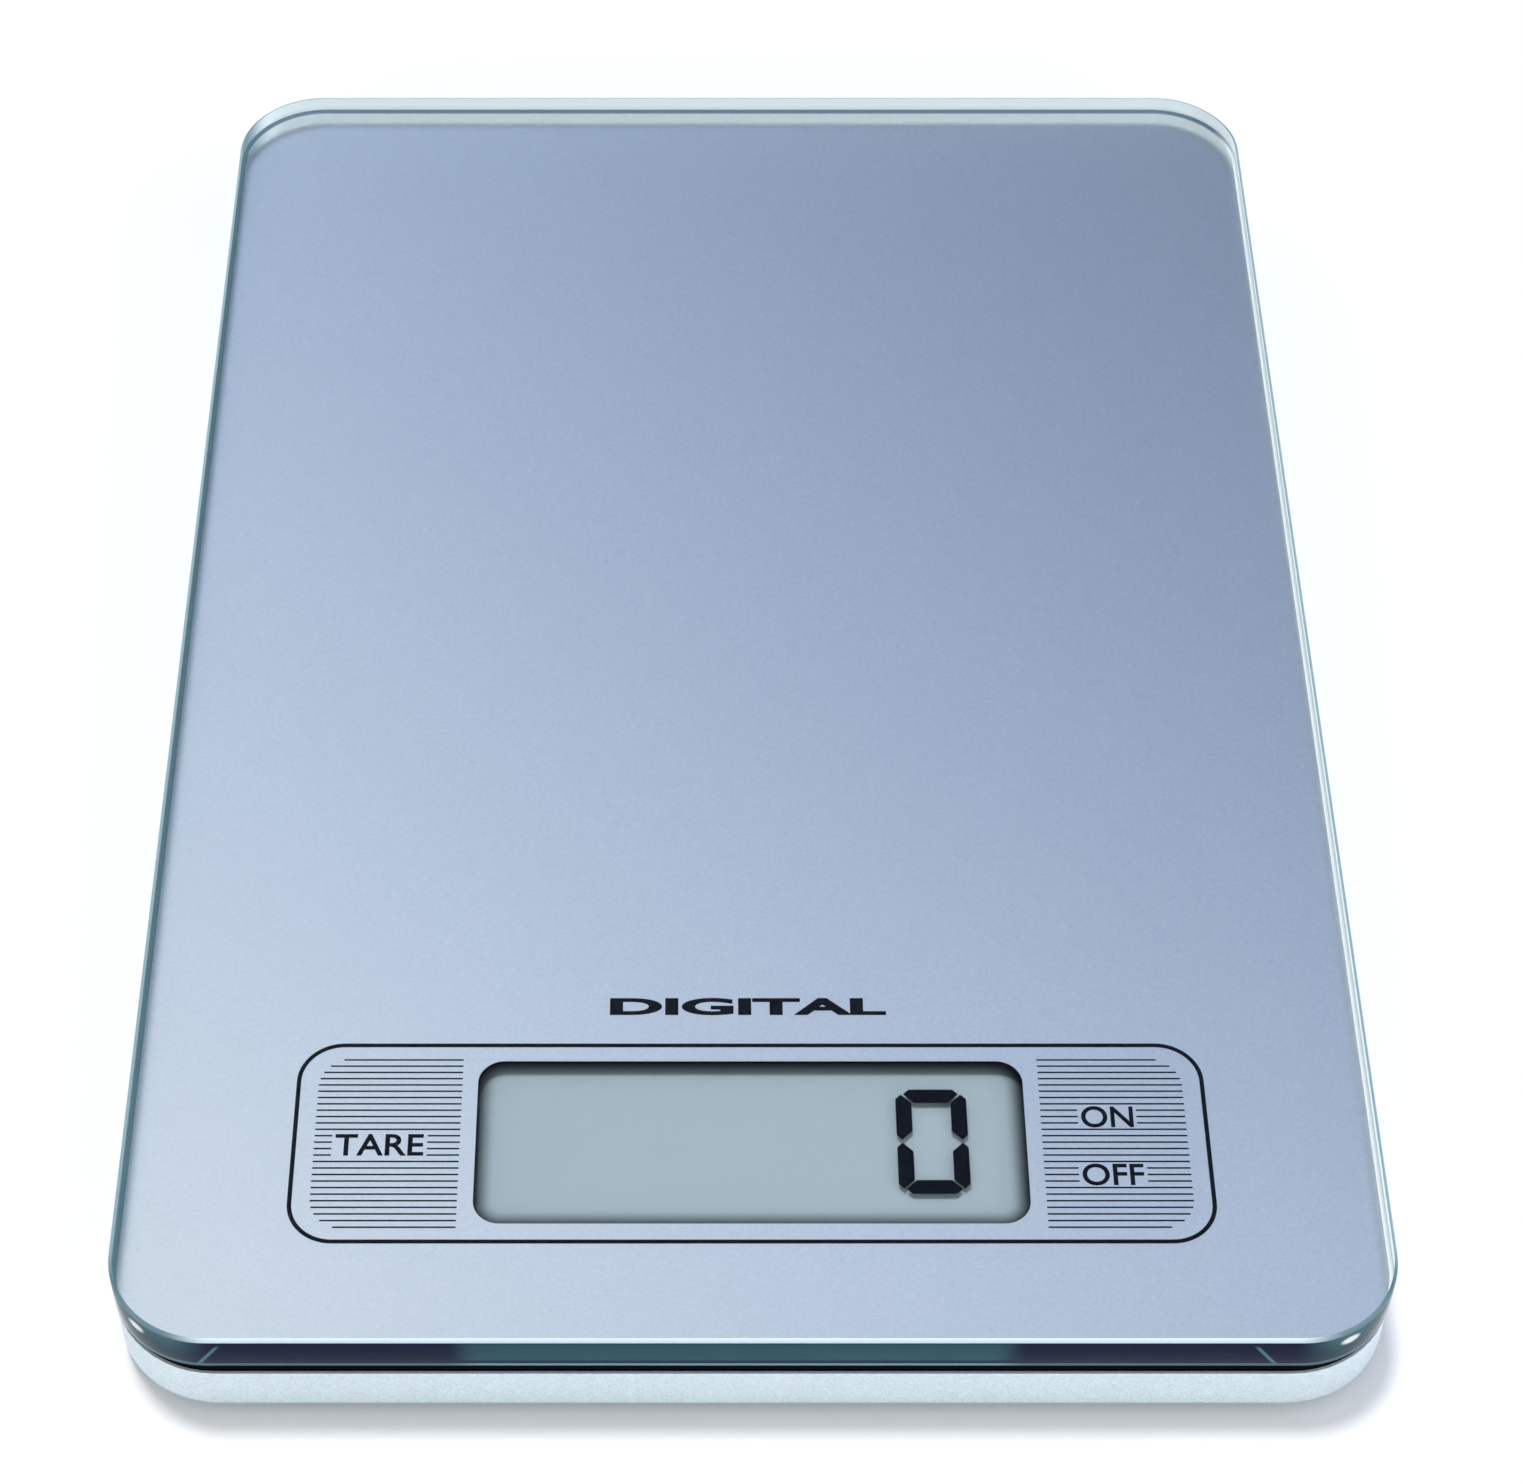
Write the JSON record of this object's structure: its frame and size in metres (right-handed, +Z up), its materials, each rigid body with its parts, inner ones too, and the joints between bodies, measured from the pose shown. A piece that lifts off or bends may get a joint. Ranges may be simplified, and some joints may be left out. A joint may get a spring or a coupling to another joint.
{
  "type": "kitchen scale",
  "caption": "Slim digital kitchen scale with a flat glass platform over a silver base, a recessed display with printed touch keys at one end, and load cells in its corners.",
  "frame": {"origin": "on the standing surface, under the middle of the scale", "axes": "+Z up, -Y towards the display and the user, +X to the user's right"},
  "size_m": [0.155, 0.227, 0.0165],
  "materials": {
    "platform_glass": "clear float glass with polished edges and a green-blue tint in its depth",
    "silver_film": "satin silver-blue metallic film with fine grain",
    "tape": "black double-sided acrylic tape",
    "gasket_foam": "black closed-cell foam",
    "carrier_plastic": "fine-textured black ABS",
    "base_silver": "silver metallic-flake moulded ABS, satin",
    "coin_steel": "nickel-plated steel can, light scratches",
    "contact_metal": "nickel-plated phosphor bronze strip",
    "wire_insulation": "glossy PVC insulation, one colour per conductor",
    "lcd_glass": "thin display glass",
    "lcd_reflector": "grey-blue diffuse reflector film",
    "zebra_rubber": "striped conductive and insulating silicone",
    "conductive_foam": "dark grey conductive foam",
    "circuit_board": "green solder mask over glass-fibre laminate",
    "chip_epoxy": "black epoxy blob",
    "component_body": "moulded component bodies",
    "spring_steel": "bright spring steel",
    "switch_body": "black switch housing",
    "switch_plunger": "red nylon plunger",
    "button_plastic": "dark grey ABS",
    "screw_steel": "zinc-plated cross-slot screws",
    "label_stock": "matt silver-grey polyester label",
    "cell_steel": "blanked alloy-steel plate",
    "potting_silicone": "white silicone sealant",
    "holder_plastic": "natural white ABS",
    "foot_plastic": "black ABS",
    "foot_rubber": "soft black non-slip rubber"
  },
  "bodies": {
    "housing": {"glass_platform": "platform_glass", "backing_film": "silver_film", "platform_tape": "tape", "lcd_gasket": "gasket_foam", "carrier_frame": "carrier_plastic", "base_shell": "base_silver", "battery_cell": "coin_steel", "battery_contact_negative": "contact_metal", "battery_contact_positive": "contact_metal", "battery_leads": "wire_insulation", "lcd_cell": "lcd_glass", "lcd_reflector": "lcd_reflector", "lcd_bezel": "carrier_plastic", "lcd_zebra_strips": "zebra_rubber", "pcb_main": "circuit_board", "pcb_chip": "chip_epoxy", "pcb_components": "component_body", "touch_contact_tare": "conductive_foam", "touch_contact_power": "conductive_foam", "unit_switch": "switch_body", "housing_screws": "screw_steel", "pcb_screws": "screw_steel", "rating_label": "label_stock", "load_cell_plate_front_left": "cell_steel", "load_cell_potting_front_left": "potting_silicone", "load_cell_holder_front_left": "holder_plastic", "load_cell_wires_front_left": "wire_insulation", "load_cell_plate_front_right": "cell_steel", "load_cell_potting_front_right": "potting_silicone", "load_cell_holder_front_right": "holder_plastic", "load_cell_wires_front_right": "wire_insulation", "load_cell_plate_rear_left": "cell_steel", "load_cell_potting_rear_left": "potting_silicone", "load_cell_holder_rear_left": "holder_plastic", "load_cell_wires_rear_left": "wire_insulation", "load_cell_plate_rear_right": "cell_steel", "load_cell_potting_rear_right": "potting_silicone", "load_cell_holder_rear_right": "holder_plastic", "load_cell_wires_rear_right": "wire_insulation"},
    "foot_body_front_left": {"foot_front_left": "foot_plastic", "foot_pad_front_left": "foot_rubber", "foot_retainer_front_left": "spring_steel"},
    "foot_body_front_right": {"foot_front_right": "foot_plastic", "foot_pad_front_right": "foot_rubber", "foot_retainer_front_right": "spring_steel"},
    "foot_body_rear_left": {"foot_rear_left": "foot_plastic", "foot_pad_rear_left": "foot_rubber", "foot_retainer_rear_left": "spring_steel"},
    "foot_body_rear_right": {"foot_rear_right": "foot_plastic", "foot_pad_rear_right": "foot_rubber", "foot_retainer_rear_right": "spring_steel"},
    "battery_door_body": {"battery_door": "base_silver", "battery_door_latch": "base_silver"},
    "unit_button_body": {"unit_button": "button_plastic", "unit_switch_plunger": "switch_plunger"}
  },
  "joints": [
    {"name": "foot_slide_front_left", "type": "slide", "parent": "housing", "child": "foot_body_front_left", "axis": [0, 0, 1], "range_m": [0, 0.0004], "stiffness_N_per_m": 40000, "springref_m": -0.00006, "deforming": ["load_cell_plate_front_left"]},
    {"name": "foot_slide_front_right", "type": "slide", "parent": "housing", "child": "foot_body_front_right", "axis": [0, 0, 1], "range_m": [0, 0.0004], "stiffness_N_per_m": 40000, "springref_m": -0.00006, "deforming": ["load_cell_plate_front_right"]},
    {"name": "foot_slide_rear_left", "type": "slide", "parent": "housing", "child": "foot_body_rear_left", "axis": [0, 0, 1], "range_m": [0, 0.0004], "stiffness_N_per_m": 40000, "springref_m": -0.00006, "deforming": ["load_cell_plate_rear_left"]},
    {"name": "foot_slide_rear_right", "type": "slide", "parent": "housing", "child": "foot_body_rear_right", "axis": [0, 0, 1], "range_m": [0, 0.0004], "stiffness_N_per_m": 40000, "springref_m": -0.00006, "deforming": ["load_cell_plate_rear_right"]},
    {"name": "battery_door_hinge", "type": "hinge", "parent": "housing", "child": "battery_door_body", "pos_m": [0, -0.058, 0.00165], "axis": [-1, 0, 0], "range_deg": [0, 80], "deforming": ["battery_door_latch"]},
    {"name": "unit_button_press", "type": "slide", "parent": "housing", "child": "unit_button_body", "axis": [0, 0, 1], "range_m": [0, 0.00025], "stiffness_N_per_m": 4000, "springref_m": -0.00015}
  ]
}
